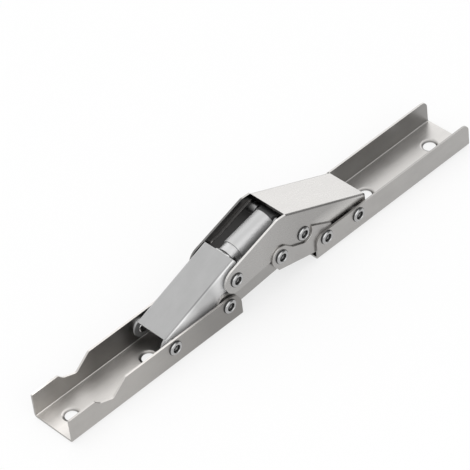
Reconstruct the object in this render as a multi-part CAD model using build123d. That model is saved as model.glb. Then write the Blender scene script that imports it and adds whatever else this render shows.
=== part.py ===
from build123d import *
import math
import os

# Folding table hinge, laid out flat. Millimetres.
# X runs along the hinge, Y across it, Z up from the screwed faces.
# The origin is on the screwed plane, under the middle of the whole hinge.

# Channels that are screwed to the two boards
left_channel_length = 99.0
right_channel_length = 97.6
channel_gap = 44.8
left_channel_width = 23.9
right_channel_width = 26.3
channel_sheet = 1.0
channel_bend_radius = 0.6
left_flange_height = 13.8
left_end_flange_height = 12.8
right_flange_height = 12.6
left_inner_corner_radius = 6.5
right_inner_corner_radius = 4.5
right_outer_corner_radius = 3.5
end_corner_radius = 0.6

# Driver notch in the flanges of the left channel
notch_start = 14.5
notch_step_x = 17.0
notch_step_height = 10.0
notch_bottom_x = 24.2
notch_bottom_height = 7.3
notch_end = 32.2
notch_step_round = 4.0
notch_bottom_round = 2.0
notch_lip_round = 1.0

# Screw holes in the webs
screw_hole_radius = 3.0
screw_cone_radius = 4.5
screw_cone_lip = 0.2
left_screw_spacing = 44.0
right_screw_spacing = 42.0
left_screw_inset = 10.1
right_screw_inset = 12.2

# Pressed plates of the linkage
plate_sheet = 1.0
lever_sheet = 1.2
link_sheet = 0.8
plate_bend_radius = 0.5
side_clearance = 0.05
fold_trim_height = 3.5

# Pivots, as X from the nearest inner channel end and height over the screwed plane
arm_root_back = 39.0
arm_root_height = 9.4
lever_root_back = 6.9
lever_root_height = 9.8
link_root_in = 6.2
link_root_height = 9.1
cover_root_in = 26.0
cover_root_height = 8.3

# Pivots between the moving plates, from the left channel's inner end
arm_top_x = -0.6
arm_top_height = 20.2
crossing_x = 39.4
crossing_height = 18.4
link_top_x = 25.0
link_top_height = 15.6
strut_top_x = 30.1
strut_top_height = 28.4

# Rivets
shank_radius = 2.0
head_radius = 3.5
head_height = 1.15
head_rim = 0.35
dimple_radius = 1.9
dimple_floor_radius = 1.3
dimple_depth = 0.95
tail_radius = 2.65
tail_height = 0.75
hole_clearance = 0.05
arm_slot_clearance = 2.3
link_slot_clearance = 1.35
washer_radius = 3.2
small_washer_radius = 3.0
flush_gap = 0.02

# Left arm cover
arm_root_nose = 4.9
arm_top_nose = 5.6
arm_cover_low_back = 41.4
arm_cover_low_height = 13.75
arm_cover_high_in = 0.7
arm_cover_high_height = 29.7

# Centre cover
cover_arm_nose = 6.5
cover_root_nose = 5.6
ridge_x = 30.6
ridge_height = 35.3
ridge_shoulder_x = 25.6
ridge_shoulder_height = 35.6
ridge_shoulder_round = 4.5
cover_tip_in = 32.5
cover_tip_height = 14.9
cover_tip_drop = 3.0
cover_limb_low_x = 22.4
cover_limb_low_height = 18.75
cover_belly_radius = 11.0
cover_belly_turn = 290.0

# Crossing lever
lever_root_nose = 5.6
lever_link_nose = 6.6
lever_crossing_nose = 5.6
lever_apex_nose = 4.4
lever_low_left = (-2.5, 6.3)
lever_low_right = (22.2, 8.5)
lever_edge_drop = 2.4
lever_shoulder_x = 4.2
lever_shoulder_round = 2.0
lever_path_gap = 0.85
lever_path_turn = 4.1
lever_neck_from_pin = (-4.0, -5.9)

# Outer link
link_nose = 5.3
link_root_nose = 5.2
link_head_gap = 1.2
link_horn = (44.9, 19.4)
link_horn_round = 2.0
link_step = (30.9, 16.8)
link_hollow_turn = 255.0
link_nose_high = (27.6, 20.3)
link_low = (22.9, 9.2)
link_shoulder_height = 14.0
link_shoulder_inset = 1.0

# Locking strut
strut_tilt = 12.5
tube_radius = 5.45
tube_wall = 0.45
tube_edge_round = 0.2
tube_rim_from_pin = 1.6
tube_length = 20.2
tube_end_thickness = 2.4
plunger_slip = 0.08
plunger_depth_in_tube = 12.8
plunger_bore_radius = 3.6
plunger_bore_depth = 12.5
fork_foot_start = 23.2
fork_slot_in = 24.8
fork_cheek_start = 26.0
fork_end = 34.2
fork_slot_high = 2.3
fork_slot_low = 4.3
fork_high = 4.6
fork_low = 6.1
fork_half_width = 4.0
fork_round = 1.6
strut_pin_radius = 1.75
eye_radius = 3.3
bush_radius = 2.9
end_gap = 0.1

# Lock spring inside the strut
spring_wire_radius = 0.6
spring_mean_radius = 2.75
spring_turns = 9.0
spring_seat_gap = 0.1
spring_sides = 10

total_length = left_channel_length + channel_gap + right_channel_length
left_outer = -total_length / 2
left_inner = left_outer + left_channel_length
right_inner = left_inner + channel_gap
right_outer = total_length / 2

# Half widths of the nested layers, from the outside in
right_inside = right_channel_width / 2 - channel_sheet
left_inside = left_channel_width / 2 - channel_sheet
link_face = right_inside - side_clearance
link_back = link_face - link_sheet
cover_face = link_back - side_clearance
cover_back = cover_face - plate_sheet
lever_face = cover_back - side_clearance
lever_back = lever_face - lever_sheet
arm_face = lever_back - side_clearance
arm_back = arm_face - plate_sheet

arm_root = (left_inner - arm_root_back, arm_root_height)
lever_root = (left_inner - lever_root_back, lever_root_height)
arm_top = (left_inner + arm_top_x, arm_top_height)
crossing = (left_inner + crossing_x, crossing_height)
link_top = (left_inner + link_top_x, link_top_height)
link_root = (right_inner + link_root_in, link_root_height)
cover_root = (right_inner + cover_root_in, cover_root_height)
strut_top = (left_inner + strut_top_x, strut_top_height)


def across(sketch, y_low, y_high):
    """The side view sketch, given a thickness from y_low to y_high."""
    return extrude(Plane.XZ.offset(-y_high) * sketch, amount=y_high - y_low)


def both_sides(sketch, y_back, y_face):
    """The same plate on the near and the far side."""
    return [across(sketch, -y_face, -y_back), across(sketch, y_back, y_face)]


def disc(centre, radius):
    return Pos(*centre) * Circle(radius)


def shape(*points):
    """A flat outline through the given points."""
    return make_face(Polyline(*points, close=True))


def rounded(sketch, point, radius):
    """The sketch with its corner nearest to the point rounded."""
    corner = sketch.vertices().sort_by_distance(Vector(*point))[0]
    return fillet(corner, radius)


def hull_of(*parts):
    """The tight outline round discs, given as centre and radius, and single points.

    The first part is a disc. A point joins the outline by a line from that disc's centre.
    """
    edges = []
    for part in parts:
        if isinstance(part[0], tuple):
            edges += disc(*part).edges()
        else:
            edges += Line(parts[0][0], part).edges()
    return make_hull(edges)


def turned(centre, radius, degrees):
    """The point at an angle round a centre."""
    angle = math.radians(degrees)
    return (centre[0] + radius * math.cos(angle), centre[1] + radius * math.sin(angle))


def bent_strip(start, end, half_width, sheet, bend):
    """The folded top of a cover: a flat strip with both long edges bent down."""
    run = math.dist(start, end)
    tilt = math.degrees(math.atan2(end[1] - start[1], end[0] - start[0]))
    outer = bend + sheet
    block = Pos(0, -outer / 2) * Rectangle(2 * half_width, outer)
    top_corners = block.vertices().group_by(Axis.Y)[-1]
    block = fillet(top_corners, outer)
    inside = Pos(0, -sheet - outer / 2) * Rectangle(2 * (half_width - sheet), outer)
    inside = fillet(inside.vertices().group_by(Axis.Y)[-1], bend)
    section = block - inside
    profile = Plane(origin=(0, 0, 0), x_dir=(0, 1, 0), z_dir=(1, 0, 0)) * section
    return Pos(start[0], 0, start[1]) * Rot(0, -tilt, 0) * extrude(profile, amount=run)


def folded_cover(outline, start, end, y_face, y_back):
    """Two side plates and the bent strip that joins them along the line from start to end."""
    outer = plate_bend_radius + plate_sheet
    run = math.dist(start, end)
    tilt = math.degrees(math.atan2(end[1] - start[1], end[0] - start[0]))
    band = Pos(run / 2, -outer + fold_trim_height) * Rectangle(run, 2 * fold_trim_height)
    band = Pos(*start) * Rot(0, 0, tilt) * band
    plates = both_sides(outline - band, y_back, y_face)
    return plates[0] + plates[1] + bent_strip(start, end, y_face, plate_sheet, plate_bend_radius)


def y_cylinder(centre, radius, y_low, y_high):
    return across(disc(centre, radius), y_low, y_high)


def ring(centre, outer, inner, y_low, y_high):
    return across(disc(centre, outer) - disc(centre, inner), y_low, y_high)


def mirrored_pair(piece):
    """A near-side piece and its far-side copy, as two separate solids."""
    return Compound(children=[piece, mirror(piece, Plane.XZ)])


def half_rivet(centre, y_face, y_end, tail):
    """A tubular rivet on the near side, from its dimpled head to its tail.

    The head lies on y_face, the shank runs inwards to y_end and a tail adds tail_height there.
    """
    crown = y_face + head_height
    points = [(0, y_end), (0, crown - dimple_depth), (dimple_floor_radius, crown - dimple_depth)]
    points += [(dimple_radius, crown), (head_radius - head_rim, crown - head_rim * 0.4)]
    points += [(head_radius, y_face + head_rim), (head_radius, y_face), (shank_radius, y_face)]
    points += [(shank_radius, y_end)]
    if tail:
        points = [(0, y_end - tail_height)] + points[1:-1]
        points += [(shank_radius, y_end), (tail_radius, y_end)]
        points += [(tail_radius, y_end - tail_height * 0.6), (shank_radius, y_end - tail_height)]
    profile = Plane.XY * make_face(Polyline(*points, close=True))
    solid = revolve(profile, Axis.Y)
    return Pos(centre[0], 0, centre[1]) * mirror(solid, Plane.XZ)


def channel(x_low, x_high, width, outline):
    """A U channel with its web down, cut to the side outline."""
    outer = channel_bend_radius + channel_sheet
    tall = 2 * max(left_flange_height, right_flange_height)
    block = Pos(0, tall / 2) * Rectangle(width, tall)
    block = fillet(block.vertices().group_by(Axis.Y)[0], outer)
    inside = Pos(0, channel_sheet + tall / 2) * Rectangle(width - 2 * channel_sheet, tall)
    inside = fillet(inside.vertices().group_by(Axis.Y)[0], channel_bend_radius)
    profile = Plane(origin=(x_low, 0, 0), x_dir=(0, 1, 0), z_dir=(1, 0, 0)) * (block - inside)
    long = extrude(profile, amount=x_high - x_low)
    return long & across(outline, -width, width)


def screw_holes(body, first_x, step):
    """Two countersunk screw holes in the web."""
    for x in (first_x, first_x + step):
        body -= Pos(x, 0, channel_sheet / 2) * Cylinder(screw_hole_radius, 2 * channel_sheet)
        cone_height = channel_sheet - screw_cone_lip
        cone = Cone(screw_hole_radius, screw_cone_radius, cone_height)
        body -= Pos(x, 0, screw_cone_lip + cone_height / 2) * cone
    return body


def left_outline():
    points = [(left_outer, 0), (left_inner, 0), (left_inner, left_flange_height)]
    points += [(left_outer + notch_end, left_flange_height)]
    points += [(left_outer + notch_bottom_x, notch_bottom_height)]
    points += [(left_outer + notch_step_x, notch_step_height)]
    points += [(left_outer + notch_start, left_end_flange_height)]
    points += [(left_outer, left_end_flange_height)]
    outline = shape(*points)
    outline = rounded(outline, points[2], left_inner_corner_radius)
    outline = rounded(outline, points[1], channel_sheet)
    outline = rounded(outline, points[4], notch_bottom_round)
    outline = rounded(outline, points[5], notch_step_round)
    outline = rounded(outline, points[3], notch_lip_round)
    return rounded(outline, points[7], end_corner_radius)


def right_outline():
    points = [(right_inner, 0), (right_outer, 0)]
    points += [(right_outer, right_flange_height), (right_inner, right_flange_height)]
    outline = shape(*points)
    outline = rounded(outline, points[2], right_outer_corner_radius)
    outline = rounded(outline, points[3], right_inner_corner_radius)
    return outline


def y_holes(body, centre, radius):
    """A round hole right across the hinge."""
    return body - y_cylinder(centre, radius, -right_channel_width, right_channel_width)


def left_channel():
    body = channel(left_outer, left_inner, left_channel_width, left_outline())
    body = screw_holes(body, left_outer + left_screw_inset, left_screw_spacing)
    body = y_holes(body, arm_root, shank_radius)
    return y_holes(body, lever_root, shank_radius)


def right_channel():
    body = channel(right_inner, right_outer, right_channel_width, right_outline())
    body = screw_holes(body, right_outer - right_screw_inset, -right_screw_spacing)
    body = y_holes(body, link_root, shank_radius)
    return y_holes(body, cover_root, shank_radius)


running_hole = shank_radius + hole_clearance
arm_cover_low = (left_inner - arm_cover_low_back, arm_cover_low_height)
arm_cover_high = (left_inner + arm_cover_high_in, arm_cover_high_height)


def left_arm():
    outline = hull_of((arm_root, arm_root_nose), (arm_top, arm_top_nose), arm_cover_low, arm_cover_high)
    body = folded_cover(outline, arm_cover_low, arm_cover_high, arm_face, arm_back)
    body = y_holes(body, arm_root, running_hole)
    return y_holes(body, arm_top, shank_radius + arm_slot_clearance)


ridge = (left_inner + ridge_x, ridge_height)
shoulder = (left_inner + ridge_shoulder_x, ridge_shoulder_height)
cover_tip = (right_inner + cover_tip_in, cover_tip_height)


def cover_outline():
    tip_low = (cover_tip[0], cover_tip_height - cover_tip_drop)
    limb_low = (left_inner + cover_limb_low_x, cover_limb_low_height)
    belly_end = turned(crossing, cover_belly_radius, cover_belly_turn)
    limb = hull_of((arm_top, cover_arm_nose), shoulder, ridge, limb_low, crossing)
    body = shape(limb_low, shoulder, ridge, cover_tip, tip_low, cover_root, belly_end, crossing)
    root = hull_of((cover_root, cover_root_nose), tip_low, cover_tip, belly_end)
    outline = limb + body + root + disc(crossing, cover_belly_radius)
    link_path = disc(crossing, math.dist(crossing, link_top) + small_washer_radius + hole_clearance)
    link_path -= disc(crossing, cover_belly_radius)
    below = shape(limb_low, crossing, belly_end, (belly_end[0], -ridge_height), (left_inner, -ridge_height))
    outline -= link_path & below
    return rounded(outline, shoulder, ridge_shoulder_round)


def center_cover():
    body = folded_cover(cover_outline(), ridge, cover_tip, cover_face, cover_back)
    body = y_holes(body, arm_top, shank_radius)
    body = y_holes(body, crossing, shank_radius)
    return y_holes(body, cover_root, running_hole)


def lever_outline():
    limb_rise = (ridge_shoulder_height - arm_top_height - cover_arm_nose)
    limb_slope = limb_rise / (shoulder[0] - arm_top[0])
    low_left = (left_inner + lever_low_left[0], lever_low_left[1])
    low_right = (left_inner + lever_low_right[0], lever_low_right[1])
    edge_x = left_inner + lever_shoulder_x
    edge_top = shoulder[1] - lever_edge_drop - limb_slope * (shoulder[0] - edge_x)
    edge = (edge_x, edge_top)
    path = math.dist(crossing, arm_top) - washer_radius - lever_path_gap
    to_pin = math.degrees(math.atan2(arm_top[1] - crossing[1], arm_top[0] - crossing[0]))
    path_low = turned(crossing, path, to_pin + lever_path_turn)
    neck = (arm_top[0] + lever_neck_from_pin[0], arm_top[1] + lever_neck_from_pin[1])
    body = shape(low_left, low_right, crossing, strut_top, edge, path_low, neck, lever_root)
    body = rounded(body, edge, lever_shoulder_round)
    front = hull_of((link_top, lever_link_nose), (crossing, lever_crossing_nose), low_right)
    top = hull_of((crossing, lever_crossing_nose), (strut_top, lever_apex_nose))
    brow = hull_of((strut_top, lever_apex_nose), (edge_x + 2 * lever_shoulder_round, edge_top), crossing)
    return body + front + top + brow + disc(lever_root, lever_root_nose)


def lever_plates():
    outline = lever_outline()
    for pivot in (lever_root, crossing, link_top):
        outline -= disc(pivot, running_hole)
    outline -= disc(strut_top, strut_pin_radius)
    return both_sides(outline, lever_back, lever_face)


def link_outline():
    horn = (left_inner + link_horn[0], link_horn[1])
    step = (left_inner + link_step[0], link_step[1])
    high = (left_inner + link_nose_high[0], link_nose_high[1])
    low = (left_inner + link_low[0], link_low[1])
    right_side = (link_root[0] + link_root_nose, link_root_height)
    root_low = (link_root[0] - link_root_nose, link_root_height - link_root_nose)
    shoulder_high = (right_side[0] - link_shoulder_inset, link_shoulder_height)
    hollow = head_radius + link_head_gap
    hollow_low = turned(crossing, hollow, link_hollow_turn)
    body = shape(low, root_low, right_side, shoulder_high, horn, crossing, hollow_low, step, link_top)
    nose = hull_of((link_top, link_nose), step, low, root_low)
    nose += hull_of((link_top, link_nose), high, step)
    body = body + nose + disc(link_root, link_root_nose)
    body = rounded(body, horn, link_horn_round)
    return body - disc(crossing, hollow)


def outer_links():
    outline = link_outline()
    outline -= disc(link_top, shank_radius)
    outline -= disc(link_root, shank_radius + link_slot_clearance)
    return both_sides(outline, link_back, link_face)


def strut_place(piece):
    """From the strut's own frame, with X from its upper pin towards the arm, to the hinge."""
    return Pos(strut_top[0], 0, strut_top[1]) * Rot(0, 180 - strut_tilt, 0) * piece


def x_cylinder(radius, x_low, x_high):
    return Pos((x_low + x_high) / 2, 0, 0) * Rot(0, 90, 0) * Cylinder(radius, x_high - x_low)


tube_bottom = tube_rim_from_pin + tube_length
plunger_radius = tube_radius - tube_wall - plunger_slip
plunger_top = tube_bottom - plunger_depth_in_tube
spring_low = tube_rim_from_pin + tube_end_thickness + spring_seat_gap
spring_high = plunger_top + plunger_bore_depth - spring_seat_gap


def spring_tube():
    body = x_cylinder(tube_radius, tube_rim_from_pin, tube_bottom)
    body = fillet(body.edges().filter_by(GeomType.CIRCLE), tube_edge_round)
    inside_start = tube_rim_from_pin + tube_end_thickness
    body -= x_cylinder(tube_radius - tube_wall, inside_start, tube_bottom + tube_wall)
    neck_length = tube_rim_from_pin + tube_end_thickness / 2
    neck = Pos(neck_length / 2, 0) * Rectangle(neck_length, 2 * eye_radius)
    eye = across(disc((0, 0), eye_radius) + neck, -tube_radius, tube_radius)
    eye &= x_cylinder(tube_radius, -eye_radius, tube_rim_from_pin + tube_end_thickness / 2)
    body += eye
    body -= y_cylinder((0, 0), strut_pin_radius + hole_clearance, -2 * tube_radius, 2 * tube_radius)
    return strut_place(body)


def spring_plunger():
    body = x_cylinder(plunger_radius, plunger_top, fork_cheek_start)
    body -= x_cylinder(plunger_bore_radius, plunger_top - 1, plunger_top + plunger_bore_depth)
    cheek_length = fork_end - fork_cheek_start
    cheek = Pos(fork_cheek_start + cheek_length / 2, (fork_low - fork_high) / 2)
    cheek = fillet((cheek * Rectangle(cheek_length, fork_high + fork_low)).vertices(), fork_round)
    foot_length = fork_end - fork_round - fork_foot_start
    foot = Pos(fork_foot_start + foot_length / 2, fork_low / 2) * Rectangle(foot_length, fork_low)
    body += across(cheek + foot, -fork_half_width, fork_half_width)
    slot_length = 2 * (fork_end - fork_slot_in)
    slot = Pos(fork_slot_in + slot_length / 2, (fork_slot_low - fork_slot_high) / 2)
    slot = slot * Rectangle(slot_length, fork_slot_high + fork_slot_low)
    body -= across(slot, -tube_radius, tube_radius)
    return strut_place(body)


def lock_spring():
    """A compression coil between the tube's end and the plunger's bore."""
    length = spring_high - spring_low - 2 * spring_wire_radius
    pitch = length / spring_turns
    coil = Helix(pitch, length, spring_mean_radius)
    section = Plane(coil @ 0, z_dir=coil % 0) * Circle(spring_wire_radius)
    wire = sweep(section, path=coil, is_frenet=True)
    upright = Pos(spring_low + spring_wire_radius, 0, 0) * Rot(0, 90, 0) * wire
    return strut_place(upright)


def write(name, piece):
    export_step(piece, "parts/" + name + ".step")


os.makedirs("parts", exist_ok=True)
write("left_channel", left_channel())
write("right_channel", right_channel())
write("left_arm", left_arm())
write("center_cover", center_cover())

for side, plate in zip(("near", "far"), lever_plates()):
    write("lever_plate_" + side, plate)
for side, plate in zip(("near", "far"), outer_links()):
    write("outer_link_" + side, plate)

left_face = left_channel_width / 2
right_face = right_channel_width / 2
rivets = {
    "arm_root_rivets": (arm_root, left_face, arm_back - flush_gap, True),
    "lever_root_rivets": (lever_root, left_face, lever_back - flush_gap, True),
    "crossing_rivets": (crossing, cover_face, lever_back - flush_gap, True),
    "link_top_rivets": (link_top, link_face, lever_back - flush_gap, True),
    "link_root_rivets": (link_root, right_face, link_back + flush_gap, False),
    "cover_root_rivets": (cover_root, right_face, cover_back - flush_gap, True),
}
for name, (centre, y_face, y_end, tail) in rivets.items():
    write(name, mirrored_pair(half_rivet(centre, y_face, y_end, tail)))

through = half_rivet(arm_top, cover_face, 0, False)
write("arm_top_pin", through + mirror(through, Plane.XZ))
write("strut_pin", y_cylinder(strut_top, strut_pin_radius, flush_gap - lever_face, lever_face - flush_gap))

washers = {
    "arm_root_spacers": (arm_root, washer_radius, arm_face + side_clearance, left_inside),
    "lever_root_washers": (lever_root, washer_radius, lever_face + side_clearance, left_inside),
    "link_top_washers": (link_top, small_washer_radius, lever_face + side_clearance, link_back),
    "cover_root_washers": (cover_root, washer_radius, cover_face + side_clearance, right_inside),
    "arm_top_washers": (arm_top, washer_radius, arm_face + side_clearance, cover_back),
}
for name, (centre, radius, y_low, y_high) in washers.items():
    write(name, mirrored_pair(ring(centre, radius, shank_radius, y_low, y_high)))

bush_low = tube_radius + end_gap
write("strut_bushes", mirrored_pair(ring(strut_top, bush_radius, strut_pin_radius, bush_low, lever_back)))

write("spring_tube", spring_tube())
write("spring_plunger", spring_plunger())
write("lock_spring", lock_spring())
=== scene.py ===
import math

import bmesh
import bpy
from mathutils import Matrix, Vector


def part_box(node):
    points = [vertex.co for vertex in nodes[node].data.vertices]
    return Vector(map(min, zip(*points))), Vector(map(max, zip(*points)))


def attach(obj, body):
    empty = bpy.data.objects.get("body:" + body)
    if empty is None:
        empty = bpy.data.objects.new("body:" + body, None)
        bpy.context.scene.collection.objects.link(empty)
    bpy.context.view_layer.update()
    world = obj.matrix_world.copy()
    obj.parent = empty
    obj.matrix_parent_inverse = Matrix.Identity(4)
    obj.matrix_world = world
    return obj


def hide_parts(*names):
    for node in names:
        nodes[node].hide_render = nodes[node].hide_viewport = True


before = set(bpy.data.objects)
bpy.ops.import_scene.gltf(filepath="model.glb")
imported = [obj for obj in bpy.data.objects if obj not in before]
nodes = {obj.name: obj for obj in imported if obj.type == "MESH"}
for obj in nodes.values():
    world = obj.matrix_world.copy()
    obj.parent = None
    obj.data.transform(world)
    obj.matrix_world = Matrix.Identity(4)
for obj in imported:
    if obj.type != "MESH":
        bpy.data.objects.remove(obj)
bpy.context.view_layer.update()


# Camera. A long lens, above and to the left of the near side, turned a little about its own
# line of sight, as in the photograph. The lens is worked out for a square frame.
picture_width = 470
lens_in_pixels = 2912.8
sensor_width = 36.0
nearest_seen = 0.05
farthest_seen = 20.0
camera_place = (-0.5910, -0.7040, 0.8660)
camera_heading = -39.49
camera_dip = 42.46
camera_roll = -7.40

camera_data = bpy.data.cameras.new("camera")
camera_data.sensor_width = sensor_width
camera_data.lens = sensor_width * lens_in_pixels / picture_width
camera_data.clip_start = nearest_seen
camera_data.clip_end = farthest_seen
camera = bpy.data.objects.new("camera", camera_data)
heading = Matrix.Rotation(math.radians(camera_heading), 4, "Z")
tilt = Matrix.Rotation(math.radians(90 - camera_dip), 4, "X")
roll = Matrix.Rotation(math.radians(camera_roll), 4, "Z")
camera.matrix_world = Matrix.Translation(camera_place) @ heading @ tilt @ roll
bpy.context.scene.collection.objects.link(camera)
bpy.context.scene.camera = camera


# Studio surround. The camera sees plain white. Metal sees a pale room with a window low down
# behind the right-hand end, a soft box over the near left and a dark screen at the near right.
# Matt surfaces see an even light.
white = (1.0, 1.0, 1.0, 1.0)
window_direction = (0.81, 0.57, 0.12)
window_stops = [(0.0, 0.50), (0.30, 0.52), (0.50, 0.54), (0.57, 0.58)]
window_stops += [(0.68, 0.62), (0.88, 0.84), (0.98, 1.0)]
window_brightness = 1.9
soft_box_direction = (-0.30, -0.78, 0.55)
soft_box_stops = [(0.88, 0.0), (0.95, 0.55)]
dark_screen_direction = (0.87, -0.45, 0.20)
dark_screen_stops = [(0.885, 1.0), (0.955, 0.25)]
matt_light = 0.90
background_light = 1.0


def arithmetic(tree, operation, *values):
    """One step of arithmetic in a node tree, on plain numbers or on other nodes' outputs."""
    node = tree.nodes.new("ShaderNodeMath")
    node.operation = operation
    for socket, value in zip(node.inputs, values):
        if isinstance(value, (int, float)):
            socket.default_value = value
        else:
            tree.links.new(value, socket)
    return node.outputs["Value"]


def mixed(tree, share, first, second):
    """Two shaders mixed: only the first at a share of 0, only the second at 1."""
    mix = tree.nodes.new("ShaderNodeMixShader")
    for socket, source in zip(mix.inputs, (share, first, second)):
        tree.links.new(source, socket)
    return mix.outputs["Shader"]


def nearness(tree, vector, direction):
    """How nearly a vector points one way: 1 along that direction and -1 against it."""
    dot = tree.nodes.new("ShaderNodeVectorMath")
    dot.operation = "DOT_PRODUCT"
    dot.inputs[1].default_value = Vector(direction).normalized()
    tree.links.new(vector, dot.inputs[0])
    return dot.outputs["Value"]


def toward(tree, direction, stops):
    """Greys by line of sight, from pairs of place and brightness: place 0 is away, 1 along it."""
    way = tree.nodes.new("ShaderNodeTexCoord")
    aim = nearness(tree, way.outputs["Generated"], direction)
    from_0_to_1 = arithmetic(tree, "MULTIPLY_ADD", aim, 0.5, 0.5)
    ramp = tree.nodes.new("ShaderNodeValToRGB")
    ramp.color_ramp.interpolation = "EASE"
    elements = ramp.color_ramp.elements
    while len(elements) < len(stops):
        elements.new(0.5)
    for element, (place, tone) in zip(elements, stops):
        element.position = place
        element.color = (tone, tone, tone, 1.0)
    tree.links.new(from_0_to_1, ramp.inputs["Fac"])
    return ramp.outputs["Color"]


def surround(tree, strength):
    """An even white surround."""
    light = tree.nodes.new("ShaderNodeBackground")
    light.inputs["Color"].default_value = white
    light.inputs["Strength"].default_value = strength
    return light


studio = bpy.data.worlds.new("studio")
studio.use_nodes = True
bpy.context.scene.world = studio
room = studio.node_tree
room.nodes.clear()
room_tones = toward(room, window_direction, window_stops)
for blend, direction, stops in (("ADD", soft_box_direction, soft_box_stops),
                                ("MULTIPLY", dark_screen_direction, dark_screen_stops)):
    screened = room.nodes.new("ShaderNodeMix")
    screened.data_type = "RGBA"
    screened.blend_type = blend
    screened.inputs["Factor"].default_value = 1.0
    room.links.new(room_tones, screened.inputs["A"])
    room.links.new(toward(room, direction, stops), screened.inputs["B"])
    room_tones = screened.outputs["Result"]
room_in_metal = surround(room, window_brightness)
room.links.new(room_tones, room_in_metal.inputs["Color"])
room_on_matt = surround(room, matt_light)
room_in_view = surround(room, background_light)
ray = room.nodes.new("ShaderNodeLightPath")
lit = mixed(room, ray.outputs["Is Glossy Ray"],
            room_on_matt.outputs["Background"], room_in_metal.outputs["Background"])
in_view = arithmetic(room, "MAXIMUM", ray.outputs["Is Camera Ray"], ray.outputs["Is Transmission Ray"])
lit_or_seen = mixed(room, in_view, lit, room_in_view.outputs["Background"])
room_out = room.nodes.new("ShaderNodeOutputWorld")
room.links.new(lit_or_seen, room_out.inputs["Surface"])
bpy.context.scene.view_settings.view_transform = "Standard"


# Lamps and floor. Wide soft lamps over a pale matt floor that keeps a faint shadow under the
# hinge. The floor lies a hair below the webs, and metal shows the room in place of the lamps.
floor_reach = 5
floor_drop = 0.0003
floor_grey = (0.95, 0.95, 0.95, 1.0)
floor_roughness = 0.95
floor_shine = 0.1
floor_whiteness = 0.72


def soft_lamp(name, place, width, power):
    """A round lamp aimed at the hinge, which neither the camera nor metal sees."""
    lamp_data = bpy.data.lights.new(name, "AREA")
    lamp_data.shape = "DISK"
    lamp_data.size = width
    lamp_data.energy = power
    lamp = bpy.data.objects.new(name, lamp_data)
    lamp.location = place
    lamp.rotation_euler = (-Vector(place)).to_track_quat("-Z", "Y").to_euler()
    lamp.visible_camera = False
    lamp.visible_glossy = False
    bpy.context.scene.collection.objects.link(lamp)


soft_lamp("top_lamp", place=(-0.10, 0.30, 1.20), width=1.2, power=2.0)
soft_lamp("front_lamp", place=(-0.25, -1.05, 0.70), width=0.9, power=1.5)

floor_corners = [(-floor_reach, -floor_reach, 0), (floor_reach, -floor_reach, 0),
                 (floor_reach, floor_reach, 0), (-floor_reach, floor_reach, 0)]
floor_mesh = bpy.data.meshes.new("floor")
floor_mesh.from_pydata(floor_corners, [], [(0, 1, 2, 3)])
floor = bpy.data.objects.new("floor", floor_mesh)
floor.location = (0, 0, -floor_drop)
bpy.context.scene.collection.objects.link(floor)

floor_paint = bpy.data.materials.new("floor_paint")
floor_paint.use_nodes = True
paint = floor_paint.node_tree
matt = paint.nodes["Principled BSDF"]
matt.inputs["Base Color"].default_value = floor_grey
matt.inputs["Roughness"].default_value = floor_roughness
matt.inputs["Specular IOR Level"].default_value = floor_shine
plain_white = paint.nodes.new("ShaderNodeEmission")
plain_white.inputs["Color"].default_value = white
ray = paint.nodes.new("ShaderNodeLightPath")
in_view = arithmetic(paint, "MAXIMUM", ray.outputs["Is Camera Ray"], ray.outputs["Is Glossy Ray"])
in_view = arithmetic(paint, "MAXIMUM", in_view, ray.outputs["Is Transmission Ray"])
whitened = arithmetic(paint, "MULTIPLY", in_view, floor_whiteness)
painted = mixed(paint, whitened, matt.outputs["BSDF"], plain_white.outputs["Emission"])
paint.links.new(painted, paint.nodes["Material Output"].inputs["Surface"])
floor_mesh.materials.append(floor_paint)


# Left channel. A long U folded from 1.0 mm zinc-plated steel strip, with a notch blanked out of
# both flanges. It is screwed down through two sunk holes in its web. Its web and outer sides carry
# painted light, and both flanges and the rims of those holes carry painted shade.
zinc_tone = 0.43
more_red_when_warm = 0.06
less_blue_when_warm = 0.07
cloud_depth = 0.16
line_depth = 0.16
inner_cosines = (-0.6, -0.2)
outer_cosines = (0.35, 0.9)
# How dark the painted shade along a piece's length gets, and over what length it sets in.
painted_shade_share = 0.12
painted_shade_edge = 0.0003
cloud_roughness = (0.88, 1.08)
line_roughness = (-0.02, 0.03)
line_height = 1.0
speckle_height = 0.5
bump_strength = 0.16
bump_depth = 0.00002


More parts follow.
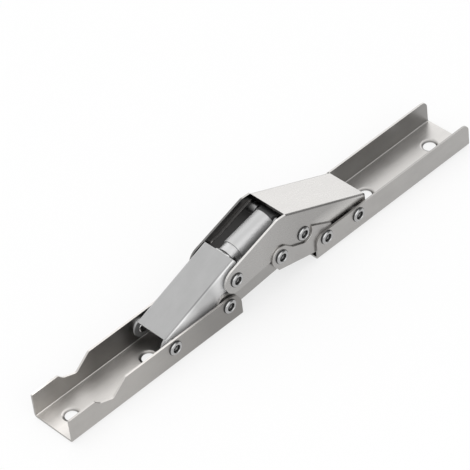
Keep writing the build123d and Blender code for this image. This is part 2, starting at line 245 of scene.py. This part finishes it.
def plated_steel(name, tone, slope, roughness, streaks=0.3, mottle=0.5, warmth=0.0,
                 metal=1.0, inside=1.0, sides=1.0, places=(), painted_shade_beyond=None):
    """Zinc-plated strip: rolling lines along its length, cloudy plating and a soft sheen.

    slope is how far the strip's length tips up from X, in degrees, so the lines follow it.
    streaks and mottle are how clear the rolling lines and the clouds are.
    inside and sides are how bright the inner faces and the outer sides are beside the rest, as
    painted shade and painted light.
    places are painted highlights and painted shade, each made by faces_toward.
    The last argument is how far along its length the piece turns dark with painted shade.
    """
    finish = bpy.data.materials.new(name)
    finish.use_nodes = True
    tree = finish.node_tree
    shader = tree.nodes["Principled BSDF"]
    shader.inputs["Metallic"].default_value = metal
    point = tree.nodes.new("ShaderNodeTexCoord")
    laid = tree.nodes.new("ShaderNodeVectorRotate")
    laid.rotation_type = "Y_AXIS"
    laid.inputs["Angle"].default_value = math.radians(slope)
    tree.links.new(point.outputs["Object"], laid.inputs["Vector"])

    def drawn_out(scale, stretch, detail):
        """Noise drawn out along the strip's length."""
        squeeze = tree.nodes.new("ShaderNodeMapping")
        squeeze.inputs["Scale"].default_value = (1.0 / stretch, 1.0, 1.0)
        tree.links.new(laid.outputs["Vector"], squeeze.inputs["Vector"])
        noise = tree.nodes.new("ShaderNodeTexNoise")
        noise.inputs["Scale"].default_value = scale
        noise.inputs["Detail"].default_value = detail
        noise.inputs["Roughness"].default_value = 0.6
        tree.links.new(squeeze.outputs["Vector"], noise.inputs["Vector"])
        return noise.outputs["Fac"]

    def scaled(source, low, high, start=0.3, end=0.7):
        """Values from start to end turned into values from low to high, and held beyond them."""
        scale = tree.nodes.new("ShaderNodeMapRange")
        scale.inputs["From Min"].default_value = start
        scale.inputs["From Max"].default_value = end
        scale.inputs["To Min"].default_value = low
        scale.inputs["To Max"].default_value = high
        tree.links.new(source, scale.inputs["Value"])
        return scale.outputs["Result"]

    def times(first, second):
        return arithmetic(tree, "MULTIPLY", first, second)

    def split(vector):
        parts = tree.nodes.new("ShaderNodeSeparateXYZ")
        tree.links.new(vector, parts.inputs["Vector"])
        return parts.outputs

    clouds = drawn_out(scale=140, stretch=1.6, detail=3.0)
    lines = drawn_out(scale=1500, stretch=45, detail=4.0)
    fine_lines = drawn_out(scale=5200, stretch=90, detail=2.0)
    speckle = drawn_out(scale=2600, stretch=1.3, detail=2.0)

    facing = split(point.outputs["Normal"])
    square = split(point.outputs["Object"])
    sloping = split(laid.outputs["Vector"])
    axes = {"X": square["X"], "Y": square["Y"], "Z": square["Z"],
            "along": sloping["X"], "up": sloping["Z"]}
    outward = times(facing["Y"], arithmetic(tree, "SIGN", square["Y"]))

    shade = times(scaled(clouds, 1.0 - cloud_depth * mottle, 1.0),
                  scaled(lines, 1.0 - line_depth * streaks, 1.0))
    # The inner faces and the outer sides are made darker or lighter here: painted shade and light.
    if inside != 1.0:
        shade = times(shade, scaled(outward, inside, 1.0, *inner_cosines))
        shade = times(shade, scaled(facing["Z"], inside, 1.0, *inner_cosines))
    if sides != 1.0:
        shade = times(shade, scaled(outward, 1.0, sides, *outer_cosines))
    # Painted highlights and painted shade on faces that look one way.
    for direction, brightness, sets_in, fades in places:
        share = scaled(nearness(tree, point.outputs["Normal"], direction), 0.0, 1.0, *sets_in)
        for axis, reach in fades.items():
            share = times(share, scaled(axes[axis], 0.0, 1.0, *reach))
        shade = times(shade, scaled(share, 1.0, brightness, 0.0, 1.0))
    # Painted shade along the piece's length beyond a point.
    if painted_shade_beyond:
        fully_painted_shade = painted_shade_beyond + painted_shade_edge
        shade = times(shade, scaled(axes["along"], 1.0, painted_shade_share, painted_shade_beyond, fully_painted_shade))

    red = tone * (1 + more_red_when_warm * warmth)
    blue = tone * (1 - less_blue_when_warm * warmth)
    toned = tree.nodes.new("ShaderNodeVectorMath")
    toned.operation = "SCALE"
    toned.inputs["Vector"].default_value = (red, tone, blue)
    tree.links.new(shade, toned.inputs["Scale"])
    tree.links.new(toned.outputs["Vector"], shader.inputs["Base Color"])
    smooth, rough = cloud_roughness
    sheen = arithmetic(tree, "ADD", scaled(clouds, roughness * smooth, roughness * rough),
                       scaled(lines, *line_roughness))
    tree.links.new(sheen, shader.inputs["Roughness"])

    heights = arithmetic(tree, "ADD", scaled(fine_lines, 0.0, line_height * streaks),
                         scaled(speckle, 0.0, speckle_height * mottle))
    bump = tree.nodes.new("ShaderNodeBump")
    bump.inputs["Strength"].default_value = bump_strength
    bump.inputs["Distance"].default_value = bump_depth
    tree.links.new(heights, bump.inputs["Height"])
    tree.links.new(bump.outputs["Normal"], shader.inputs["Normal"])
    return finish


def faces_toward(direction, brightness, sets_in, **fades):
    """A painted highlight or painted shade on a finish: how bright the faces that look one way are
    beside the rest.

    sets_in holds the two cosines between which the place sets in. Each fade is an axis, with
    where the place starts on it and where it is full. The axes are X, Y and Z, and along and
    up, which are the strip's own length and height.
    """
    return direction, brightness, sets_in, fades


def past(start, *distances):
    """Places at some distances from a start."""
    return tuple(start + distance for distance in distances)


def soften_edges(node, width, weld_gap=0.000002, flat_within=0.6, sharp_from=38):
    """Rounds off the sheared edges of a sheet piece, as tumbling and plating do."""
    join = node.modifiers.new("join", "WELD")
    join.merge_threshold = weld_gap
    flat = node.modifiers.new("flat", "DECIMATE")
    flat.decimate_type = "DISSOLVE"
    flat.angle_limit = math.radians(flat_within)
    edge = node.modifiers.new("edge", "BEVEL")
    edge.width = width
    edge.segments = 2
    edge.limit_method = "ANGLE"
    edge.angle_limit = math.radians(sharp_from)
    edge.use_clamp_overlap = True
    shade = node.modifiers.new("shade", "WEIGHTED_NORMAL")
    shade.keep_sharp = False
    shade.weight = 100


def finish_nodes(finish, *names, edge_width=None):
    """Gives CAD nodes their finish, and sheet pieces their softened edges."""
    for name in names:
        nodes[name].material_slots[0].material = finish
        for face in nodes[name].data.polygons:
            face.use_smooth = True
        if edge_width:
            soften_edges(nodes[name], edge_width)


upward = (0, 0, 1)
nearward = (0, -1, 0)
web_cosines = (0.45, 0.60)
side_cosines = (0.35, 0.90)
near_half = (0.0, -0.001)
far_half = (0.0, 0.001)
web_sheet = 0.001
left_end, near_face, web_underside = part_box("left_channel")[0]
# Painted light on faces that look up, most at the web's left end; painted shade on the screw rims and
# on both flanges towards the arm.
painted_light_upward = faces_toward(upward, brightness=1.27, sets_in=web_cosines)
painted_light_web = faces_toward(upward, brightness=1.18, sets_in=web_cosines,
                          X=past(left_end, 0.0167, 0.0267))
painted_highlight_web_end = faces_toward(upward, brightness=1.55, sets_in=web_cosines,
                              X=past(left_end, 0.0147, 0.0047), Y=past(near_face, 0.00095, 0.00995))
painted_shade_screw_rim = faces_toward(upward, brightness=0.5, sets_in=(0.40, 0.55),
                              Z=past(web_underside, 0.6 * web_sheet, 0.4 * web_sheet))
painted_shade_screw_left = faces_toward((0.47, 0, 0.88), brightness=0.35, sets_in=(0.93, 0.98),
                               Z=past(web_underside, 1.05 * web_sheet, 0.95 * web_sheet))
painted_shade_far_flange = faces_toward(nearward, brightness=0.46, sets_in=side_cosines,
                                 Y=far_half, X=past(left_end, 0.0147, 0.0347))
painted_shade_near_flange = faces_toward(nearward, brightness=0.62, sets_in=side_cosines,
                                Y=near_half, X=past(left_end, 0.0357, 0.0807))
left_channel_finish = plated_steel("left_channel_zinc", tone=zinc_tone, slope=0, roughness=0.42,
                                   streaks=0.3, mottle=0.6, warmth=0.55, inside=1.02, sides=1.06,
                                   places=[painted_light_upward, painted_light_web, painted_highlight_web_end, painted_shade_screw_rim,
                                           painted_shade_screw_left, painted_shade_far_flange, painted_shade_near_flange])
finish_nodes(left_channel_finish, "left_channel", edge_width=0.00014)


# Right channel. The same strip folded into a wider and lower U, with rounded flange ends.
# It is screwed down through its web too.
flange_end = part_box("right_channel")[0].x
flange_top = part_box("right_channel")[1].z
# Painted light on the web, and painted shade on the near flange's top edge and on the inner faces.
painted_light_right_web = faces_toward(upward, brightness=1.2, sets_in=web_cosines)
painted_shade_near_top = faces_toward(upward, brightness=0.68, sets_in=web_cosines,
                             Y=near_half, Z=past(flange_top, -0.0026, -0.0021))
right_channel_finish = plated_steel("right_channel_zinc", tone=zinc_tone, slope=0, roughness=0.36,
                                    streaks=0.3, mottle=0.6, warmth=0.4, inside=0.75,
                                    places=[painted_light_right_web, painted_shade_near_top, painted_shade_screw_rim])
finish_nodes(right_channel_finish, "right_channel", edge_width=0.00014)


# Left arm. An inverted U pressed from the same strip, with a flat top plate, that rises out of
# the left channel. Its sides carry painted light and are brighter than its top, most of all at the
# two ends beside the flange and the cover. Its inside and its fold carry painted shade.
arm_slope = 20.75


def sloping_box(node_name, slope):
    """The lowest and highest place of a node along its own slope, and then up from it."""
    turn = math.radians(slope)
    spots = [vertex.co for vertex in nodes[node_name].data.vertices]
    along = [spot.x * math.cos(turn) + spot.z * math.sin(turn) for spot in spots]
    up = [spot.z * math.cos(turn) - spot.x * math.sin(turn) for spot in spots]
    return {"along": (min(along), max(along)), "up": (min(up), max(up))}


low_end, high_end = sloping_box("left_arm", arm_slope)["along"]
# Painted light on the near side at both ends, and painted shade along the fold.
painted_light_low_end = faces_toward(nearward, brightness=1.75, sets_in=side_cosines,
                              Y=near_half, along=past(low_end, 0.02433, 0.01533))
painted_light_high_end = faces_toward(nearward, brightness=1.75, sets_in=side_cosines,
                               Y=near_half, along=past(high_end, -0.0179, -0.0099))
painted_shade_fold = faces_toward((-0.22, -0.64, 0.74), brightness=0.5, sets_in=(0.955, 0.985))
arm_finish = plated_steel("arm_zinc", tone=zinc_tone, slope=arm_slope, roughness=0.45,
                          streaks=0.15, mottle=0.5, metal=0.3, inside=0.5, sides=1.25,
                          places=[painted_light_low_end, painted_light_high_end, painted_shade_fold])
finish_nodes(arm_finish, "left_arm", edge_width=0.00012)


# Centre cover. The largest steel pressing, with a bright top plate that slopes down into the
# right channel, and an open window to the left of its ridge. Its cut end, its inside, its outer
# sides, its far edges and the right of its near side carry painted shade; its near edges carry a
# painted highlight, and its near side painted light just above the right channel's flange.
cover_slope = -23.5
cover_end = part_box("center_cover")[0].x
cover_top = sloping_box("center_cover", cover_slope)["up"][1]
end_on = (-0.90, 0, 0.43)
end_cosines = (0.35, 0.55)
# A painted highlight on the near edges, and painted shade on the far edges, the cut end and the right
# of the near side; painted light on the near side just above the right channel's flange.
painted_highlight_edges = faces_toward(end_on, brightness=1.6, sets_in=end_cosines, Y=near_half)
painted_shade_far_edge = faces_toward(end_on, brightness=0.4, sets_in=end_cosines, Y=far_half)
painted_shade_cut_end = faces_toward((-0.92, 0, 0.40), brightness=0.10, sets_in=(0.80, 0.95),
                             up=past(cover_top, -0.00282, -0.00252))
painted_shade_right_side = faces_toward(nearward, brightness=0.84, sets_in=side_cosines,
                               Y=near_half, X=past(cover_end, 0.0208, 0.0448))
painted_light_by_flange = faces_toward(nearward, brightness=1.65, sets_in=side_cosines, Y=near_half,
                                X=past(flange_end, -0.0031, 0.0029), Z=past(flange_top, 0.0094, 0.0024))
cover_finish = plated_steel("cover_zinc", tone=zinc_tone, slope=cover_slope, roughness=0.28,
                            streaks=0.02, mottle=0.12, warmth=0.35, inside=0.14, sides=0.95,
                            places=[painted_highlight_edges, painted_shade_far_edge, painted_shade_cut_end, painted_shade_right_side,
                                    painted_light_by_flange])
finish_nodes(cover_finish, "center_cover", edge_width=0.00012)


# Lever plates. Two flat blanked plates that carry the crossing pivot and the strut's upper pin.
# They are plain zinc-plated strip, duller than the cover.
# The inner faces carry painted shade and the near edges a painted highlight.
lever_finish = plated_steel("lever_zinc", tone=0.36, slope=8, roughness=0.34, streaks=0.2, mottle=0.6,
                            warmth=0.4, inside=0.16, places=[painted_highlight_edges])
finish_nodes(lever_finish, "lever_plate_near", "lever_plate_far", edge_width=0.00010)


# Outer links. Two short blanked plates of zinc-plated strip, riveted to the lever and to the
# right channel. They lie just inside the channel's flanges.
# The near edges carry a painted highlight.
link_finish = plated_steel("link_zinc", tone=0.41, slope=-14, roughness=0.32, streaks=0.2, mottle=0.5,
                           warmth=0.35, places=[painted_highlight_edges])
finish_nodes(link_finish, "outer_link_near", "outer_link_far", edge_width=0.00010)


# Rivets. Tubular steel rivets with a rolled head: a low dome round a deep hollow, whose floor
# keeps a small bead. Painted shade darkens the hollow and the flank of the head. Their closed ends
# are spread inside.
mm_per_metre = 1000
head_hollow = [(0.0, 0.15), (0.30, 0.11), (0.60, -0.05), (0.90, -0.30), (1.15, -0.50), (1.40, -0.55)]
head_hollow += [(1.60, -0.42), (1.72, -0.15), (1.80, 0.20)]
head_ring = [(1.86, 0.55), (1.89, 0.80), (1.96, 0.98), (2.07, 1.10), (2.22, 1.15), (2.40, 1.13)]
head_ring += [(2.62, 1.06), (2.86, 0.94), (3.08, 0.79), (3.27, 0.61), (3.40, 0.44), (3.47, 0.28)]
head_ring += [(3.50, 0.14), (3.50, 0.0)]
head_tall = 1.15
shank_round = 2.0
tail_outline = [(2.0, 0.0), (2.5, 0.02), (2.65, -0.18), (2.6, -0.42), (2.35, -0.64)]
tail_outline += [(1.9, -0.75), (0.0, -0.75)]
tail_tall = 0.75
lathe_steps = 64
seam_gap = 0.0000012
crease_from = 50
hollow_within = 0.00184
hollow_reach = 0.0008
flank_beyond = 0.00332
rivet_finish = plated_steel("rivet_zinc", tone=zinc_tone, slope=0, roughness=0.14,
                            streaks=0.0, mottle=0.5)
# Painted shade: the hollow and the flank are dark finishes of their own.
painted_shade_hollow_finish = plated_steel("rivet_hollow_painted_shade", tone=0.13, slope=0, roughness=0.14,
                             streaks=0.0, mottle=0.5)
painted_shade_flank_finish = plated_steel("rivet_flank_painted_shade", tone=0.07, slope=0, roughness=0.35,
                            streaks=0.0, mottle=0.5)
rivet_finishes = [rivet_finish, painted_shade_hollow_finish, painted_shade_flank_finish]


def turned_rivets(node_name, body, tail=True, through=False):
    """Lathed rivets, one on each side, in place of a node's plainer ones.

    tail is whether they end in a spread tail, and through whether they meet in the middle.
    """
    solid = nodes[node_name].data
    low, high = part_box(node_name)
    middle = Vector(((low[0] + high[0]) / 2, 0, (low[2] + high[2]) / 2))
    seat = high[1] - head_tall / mm_per_metre
    inner_end = 0.0 if through else min(abs(v.co.y) for v in solid.vertices)
    if tail:
        inner_end += tail_tall / mm_per_metre

    def outline(points, base):
        """An outline in metres, from pairs of radius and of height above its base, both in mm."""
        return [(radius / mm_per_metre, base + height / mm_per_metre) for radius, height in points]

    line = outline(head_hollow + head_ring, seat)
    line += outline([(shank_round, 0.0)], seat)
    if through:
        line += outline([(shank_round, 0.0)], 0.0)
    elif tail:
        line += outline(tail_outline, inner_end)
    else:
        line += outline([(shank_round, 0.0), (0.0, 0.0)], inner_end)
    build = bmesh.new()
    for side in (-1, 1):
        ends = [build.verts.new((radius, side * y, 0)) for radius, y in line]
        edges = [build.edges.new(pair) for pair in zip(ends, ends[1:])]
        bmesh.ops.spin(build, geom=ends + edges, cent=(0, 0, 0), axis=(0, 1, 0),
                       angle=math.tau, steps=lathe_steps, use_merge=True, use_duplicate=False)
    bmesh.ops.remove_doubles(build, verts=build.verts, dist=seam_gap)
    bmesh.ops.recalc_face_normals(build, faces=build.faces)
    for face in build.faces:
        face.smooth = True
        spot = face.calc_center_median()
        across = math.hypot(spot.x, spot.z)
        if across < hollow_within and abs(spot.y) > seat - hollow_reach:
            face.material_index = rivet_finishes.index(painted_shade_hollow_finish)
        elif across > flank_beyond:
            face.material_index = rivet_finishes.index(painted_shade_flank_finish)
    bmesh.ops.translate(build, verts=build.verts, vec=middle)
    mesh = bpy.data.meshes.new(node_name + "_turned")
    build.to_mesh(mesh)
    build.free()
    mesh.set_sharp_from_angle(angle=math.radians(crease_from))
    for finish in rivet_finishes:
        mesh.materials.append(finish)
    piece = bpy.data.objects.new(node_name + "_turned", mesh)
    bpy.context.scene.collection.objects.link(piece)
    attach(piece, body)
    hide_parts(node_name)


turned_rivets("arm_root_rivets", "left_channel")
turned_rivets("lever_root_rivets", "left_channel")
turned_rivets("crossing_rivets", "center_cover")
turned_rivets("link_top_rivets", "outer_links")
turned_rivets("link_root_rivets", "right_channel", tail=False)
turned_rivets("cover_root_rivets", "right_channel")
turned_rivets("arm_top_pin", "center_cover", tail=False, through=True)


# Washers, spacers and bushes. Plain rings of zinc-plated steel that keep the plates apart.
# They are threaded on the rivet shanks, and the bushes on the strut's pin.
washer_finish = plated_steel("washer_zinc", tone=0.36, slope=0, roughness=0.36, streaks=0.0, mottle=0.6)
finish_nodes(washer_finish, "arm_root_spacers", "lever_root_washers", "link_top_washers",
             "cover_root_washers", "arm_top_washers", "strut_bushes")


# Locking strut. A satin drawn tube with an eye at its upper end, held between the lever plates
# by a plain pin, a turned plunger that slides in it and is forked over the arm's pin, and an
# oiled spring inside.
tube_slope = 14.95
painted_shade_length = 0.00499
tube_high_end = sloping_box("spring_tube", tube_slope)["along"][1]
# The tube's outer sides carry painted light, and its upper end, the eye, is painted dark as shade under
# the cover.
tube_finish = plated_steel("satin_tube", tone=0.54, slope=tube_slope, roughness=0.50,
                           streaks=0.10, mottle=0.2, metal=0.5, sides=1.4,
                           painted_shade_beyond=tube_high_end - painted_shade_length)
plunger_finish = plated_steel("turned_plunger", tone=0.62, slope=12.5, roughness=0.46,
                              streaks=0.10, mottle=0.3, metal=0.7)
spring_finish = plated_steel("spring_wire", tone=0.16, slope=12.5, roughness=0.35,
                             streaks=0.2, mottle=0.4)
finish_nodes(tube_finish, "spring_tube")
finish_nodes(plunger_finish, "spring_plunger", edge_width=0.00010)
finish_nodes(spring_finish, "lock_spring")
finish_nodes(rivet_finish, "strut_pin")
